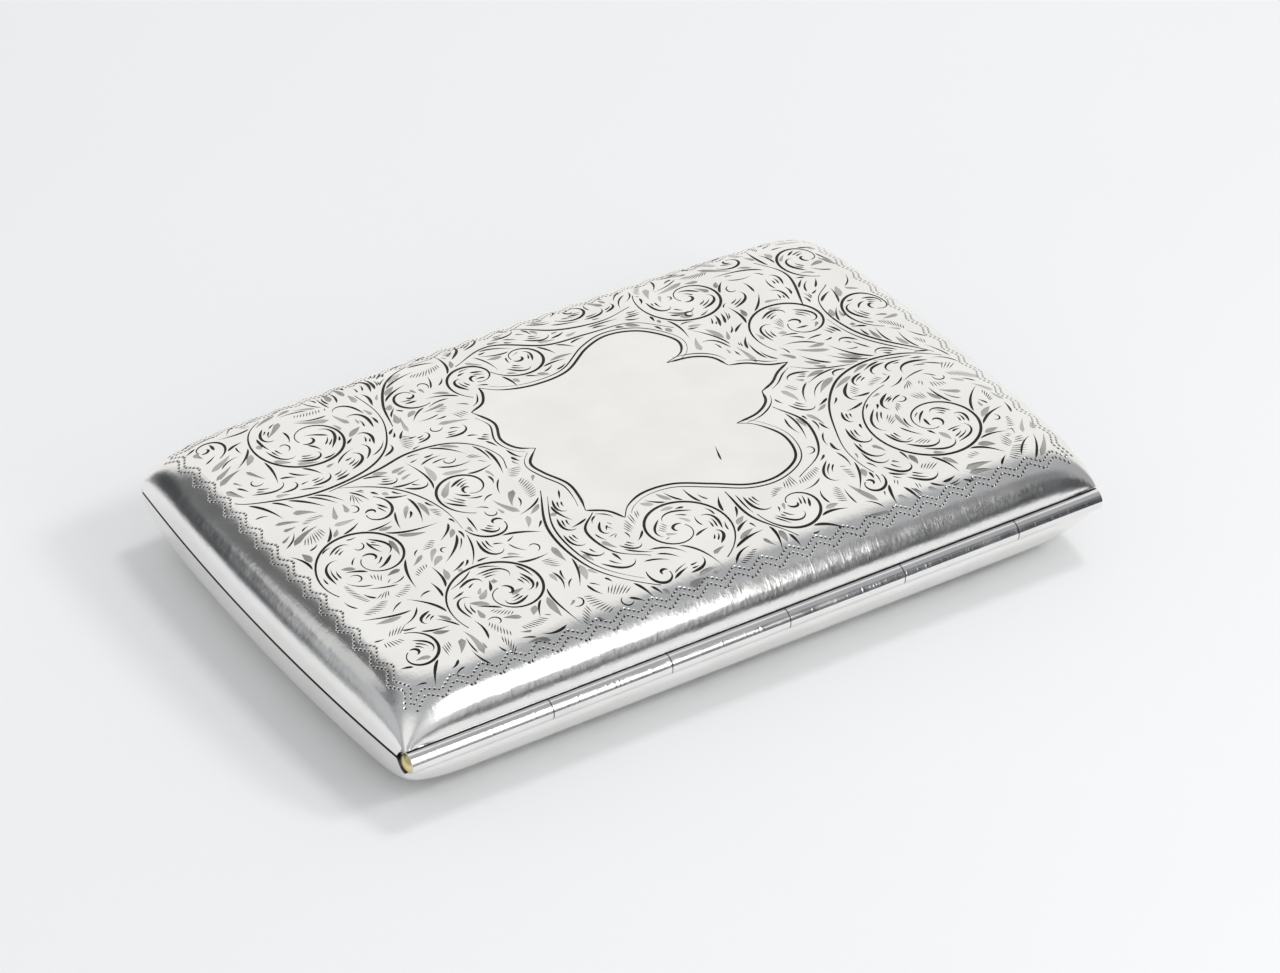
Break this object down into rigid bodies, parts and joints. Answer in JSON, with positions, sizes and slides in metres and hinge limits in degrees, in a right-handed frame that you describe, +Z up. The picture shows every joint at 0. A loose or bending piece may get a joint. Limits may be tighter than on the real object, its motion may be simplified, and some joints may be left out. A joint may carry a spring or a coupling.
{
  "type": "business card case",
  "caption": "Slim cushion-shaped metal pocket case with a full-length knuckle hinge, a push-button catch and a sprung bar that holds a stack of cards.",
  "frame": {"origin": "middle of the flat underside, midway between the hinge side and the corners of the opening side, on the table", "axes": "+X along the hinge, to the right seen from the hinge side; +Y from the hinge side to the opening side; +Z up through the lid"},
  "size_m": [0.1028, 0.0695, 0.0171],
  "materials": {
    "silver_lid": "polished, engraved all over with dark cut lines",
    "silver_base": "polished, engraved",
    "silver_rim": "polished, faintly gilt inside the case",
    "silver_hinge": "polished tube, fine wear",
    "silver_button": "polished",
    "gilt": "thin gilding, satin",
    "steel": "drawn wire and plate",
    "spring_steel": "blued grey spring stock",
    "brass": "worn, slightly dull"
  },
  "bodies": {
    "base": {"base_shell": "silver_base", "base_bezel": "silver_rim", "base_knuckle_near": "silver_hinge", "base_knuckle_mid": "silver_hinge", "base_knuckle_far": "silver_hinge", "hinge_pin": "steel", "hinge_plug_near": "brass", "catch_spring": "spring_steel", "catch_posts": "silver_rim", "catch_rivets": "steel", "bar_lugs": "silver_rim", "bar_springs": "spring_steel"},
    "lid": {"lid_shell": "silver_lid", "lid_knuckle_near": "silver_hinge", "lid_knuckle_mid": "silver_hinge", "lid_knuckle_far": "silver_hinge", "hinge_plug_far": "brass", "lid_keeper": "silver_rim"},
    "button": {"catch_button": "silver_button", "catch_bolt": "steel"},
    "card_bar": {"card_bar": "gilt", "bar_pivots": "steel"}
  },
  "joints": [
    {"name": "lid_hinge", "type": "hinge", "parent": "base", "child": "lid", "pos_m": [0, -0.0326, 0.008], "axis": [1, 0, 0], "range_deg": [0, 110]},
    {"name": "catch_press", "type": "slide", "parent": "base", "child": "button", "axis": [0, -1, 0], "range_m": [0, 0.0008], "stiffness_N_per_m": 600, "springref_m": -0.0008, "deforming": ["catch_spring"]},
    {"name": "card_bar_pivot", "type": "hinge", "parent": "base", "child": "card_bar", "pos_m": [0, -0.028, 0.0066], "axis": [1, 0, 0], "range_deg": [0, 18], "stiffness_Nm_per_rad": 0.01, "springref_deg": -28.65, "deforming": ["bar_springs"]}
  ]
}
